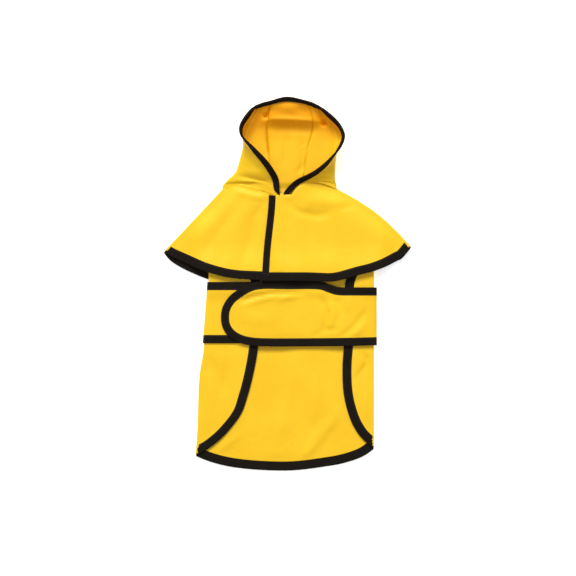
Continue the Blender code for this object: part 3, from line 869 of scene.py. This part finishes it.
def hood_sections():
    """Points across each hood section, left rim to right rim."""
    rows = [[Vector(point) for point in ring] for ring in (TUCKED_RING, NECK_RING)]
    for s in HOOD:
        def at(x, share, z):
            return Vector((x, s.rim_y + (s.seam_y - s.rim_y) * share, z))
        left = [at(s.l_rim, 0, s.rim_z),
                at(s.l_rim + (s.l_side - s.l_rim) * RIM_LEAN, 0.2,
                   s.side_z + (s.rim_z - s.side_z) * 0.6),
                at(s.l_side, 0.4, s.side_z), at(s.l_low, 0.7, s.low_z),
                at(s.l_seam, 1, s.seam_z)]
        right = [at(s.r_seam, 1, s.seam_z), at(s.r_low, 0.7, s.low_z),
                 at(s.r_side, 0.4, s.side_z),
                 at(s.r_rim + (s.r_side - s.r_rim) * RIM_LEAN, 0.2,
                    s.side_z + (s.rim_z - s.side_z) * 0.6),
                 at(s.r_rim, 0, s.rim_z)]
        middle = (left[-1] + right[0]) / 2
        if s is HOOD[-1]:
            middle.x, middle.y = FOREHEAD_PEAK
        rows.append(left + [middle] + right)
    return rows


def hood_points():
    """Fine grid over the whole hood: rows neck to forehead, columns rim to rim."""
    rows = [spline(row, HOOD_STEPS) for row in hood_sections()]
    columns = [spline(column, HOOD_STEPS) for column in zip(*rows)]
    grid = [list(row) for row in zip(*columns)]
    seams = (SEAM_SPAN * HOOD_STEPS, len(grid[0]) - 1 - SEAM_SPAN * HOOD_STEPS)
    side = SIDE_TURN * HOOD_STEPS
    for r, row in enumerate(grid):
        settle = smooth((r - HOOD_STEPS) / 6)
        for c, point in enumerate(row):
            edge = min(c, len(row) - 1 - c)
            free = settle * smooth((edge - 2) / 6) * smooth((len(grid) - 2 - r) / 5)
            if edge < side:
                point.z += free * (relief(OUTSIDE_CREASES, point.x, point.y)
                                   + 0.7 * slack(point.x, point.y, 22, 6.0))
            else:
                point.z += free * (BACK_PUFF + relief(BACK_CREASES, point.x, point.y)
                                   + 0.5 * slack(point.x, point.y, 24, 8.0))
            point.z = max(point.z, FLOOR_LEVEL)
    return grid, seams


def painted_shade_share(row, column, columns, y):
    """Share of the painted shade: only in the dish of the hood, deepest under the forehead."""
    edge = min(column, columns - 1 - column)
    back = smooth((edge - SIDE_TURN * HOOD_STEPS) / 4) * smooth((row - HOOD_STEPS) / 8)
    crown = smooth((row - CROWN_START * HOOD_STEPS) / 5)
    middle = smooth((edge - 4) / 14)
    deepening = (1 - PAINTED_SHADE_LEAST) * smooth((y - PAINTED_SHADE_FROM) / PAINTED_SHADE_RUN) * middle
    return max(back, crown) * (PAINTED_SHADE_LEAST + deepening + PAINTED_SHADE_LEAST * crown * (1 - middle))


def sheet_of(rows, painted_shade_tints=()):
    """Surface through a grid of points, with a UV map that follows the cloth, and any painted shade
    values.
    """
    cloth = bmesh.new()
    across, up = len(rows[0]), len(rows)
    bmesh.ops.create_grid(cloth, x_segments=across - 1, y_segments=up - 1, size=1)
    layer = cloth.loops.layers.uv.new("cut")
    # this layer holds each point's share of painted shade
    inside = cloth.verts.layers.float.new("inside")
    middle = rows[up // 2]
    width = sum((b - a).length for a, b in zip(middle, middle[1:]))
    length = sum((b[across // 2] - a[across // 2]).length for a, b in zip(rows, rows[1:]))
    for face in cloth.faces:
        face.smooth = True
        for loop in face.loops:
            loop[layer].uv = ((loop.vert.co.x + 1) / 2 * width * MM,
                              (loop.vert.co.y + 1) / 2 * length * MM)
    verts = sorted(cloth.verts, key=lambda v: (round(v.co.y, 5), v.co.x))
    for vert, point in zip(verts, [p for row in rows for p in row]):
        vert.co = point
    for vert, tint in zip(verts, [t for row in painted_shade_tints for t in row]):
        vert[inside] = tint
    return cloth


def short_of_rim(rows, first, last):
    """The rows with the ends that meet the rim drawn back into the binding."""
    out = [list(row) for row in rows]
    for row in out:
        if first:
            row[0] = row[0].lerp(row[1], RIM_TUCK)
        if last:
            row[-1] = row[-1].lerp(row[-2], RIM_TUCK)
    out[-1] = [top.lerp(below, RIM_TUCK) for top, below in zip(out[-1], out[-2])]
    return out


hood, (left_seam, right_seam) = hood_points()
Panel = namedtuple("Panel", "name first last node width length area")
panels = [Panel("hood_left_cloth", 0, left_seam, "hood_left", 0.155, 0.158, 0.0101),
          Panel("hood_centre_cloth", left_seam, right_seam, "hood_centre", 0.064, 0.146, 0.0078),
          Panel("hood_right_cloth", right_seam, len(hood[0]) - 1, "hood_right", 0.132, 0.184,
                0.0087)]
hood_cloths = []
# share of painted shade at each point of the hood
painted_shade_tints = [[painted_shade_share(r, c, len(row), point.y) for c, point in enumerate(row)]
         for r, row in enumerate(hood)]
for panel in panels:
    rows = [row[panel.first:panel.last + 1] for row in hood]
    rows = short_of_rim(rows, panel.first == 0, panel.last == len(hood[0]) - 1)
    panel_painted_shades = [row[panel.first:panel.last + 1] for row in painted_shade_tints]
    cloth = walled(panel.name, sheet_of(rows, panel_painted_shades), CLOTH_WALL, 0, yellow)
    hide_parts(panel.node)
    hood_cloths.append(cloth)

whole = sheet_of(hood)
surface = BVHTree.FromBMesh(whole)
whole.free()
rim = [row[0] for row in hood] + hood[-1][1:-1] + [row[-1] for row in hood[::-1]]


def evened(line, passes):
    """The line with its small kinks taken out; its ends stay."""
    for _ in range(passes):
        line = line[:1] + [(a + b * 2 + c) / 4
                           for a, b, c in zip(line, line[1:], line[2:])] + line[-1:]
    return line


def rim_lines(distance, steps):
    """Lines on the hood's surface, stepping in from the rim to a distance."""
    line = evened(rim, 2)
    lines = [line]
    ways = []
    for i, spot in enumerate(line):
        run = line[min(i + 2, len(line) - 1)] - line[max(i - 2, 0)]
        way = run.cross(surface.find_nearest(spot)[1]).normalized()
        deeper = surface.find_nearest(spot + way * 3)[0] - spot
        other = surface.find_nearest(spot - way * 3)[0] - spot
        ways.append(way if deeper.length > other.length else -way)
    for _ in range(steps):
        ways = [(a + b * 2 + c).normalized() for a, b, c in
                zip(ways[:1] + ways, ways, ways[1:] + ways[-1:])]
        ahead = [surface.find_nearest(p + w * distance / steps * (
            1 - CROWN_NARROW * smooth((p.y - NARROW_FROM) / NARROW_RUN)))[0]
                 for p, w in zip(line, ways)]
        ahead = evened(ahead, 2)
        ways = [(b - a).normalized() if (b - a).length > 0.2 else way
                for a, b, way in zip(line, ahead, ways)]
        line = ahead
        lines.append(line)
    return lines


rim_steps = rim_lines(HOOD_BINDING, TAPE_STRIPS)
rim_rows = [list(points) for points in zip(*rim_steps)]
rim_tape = walled("hood_rim_tape", sheet_of(rim_rows), HOOD_TAPE, 0, black)
round_edge = rim_tape.modifiers.new("rounded", "BEVEL")
round_edge.width = 0.5 * MM
round_edge.segments = 2
round_edge.limit_method = "ANGLE"
round_edge.angle_limit = math.radians(50)
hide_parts("hood_rim_binding")
rim_stitches = stitch_row("hood_rim_stitches", rim_steps[-2], black_thread, 0.6)
for cloth, panel in zip(hood_cloths, panels):
    trims = [rim_tape, rim_stitches] if panel.node == "hood_centre" else []
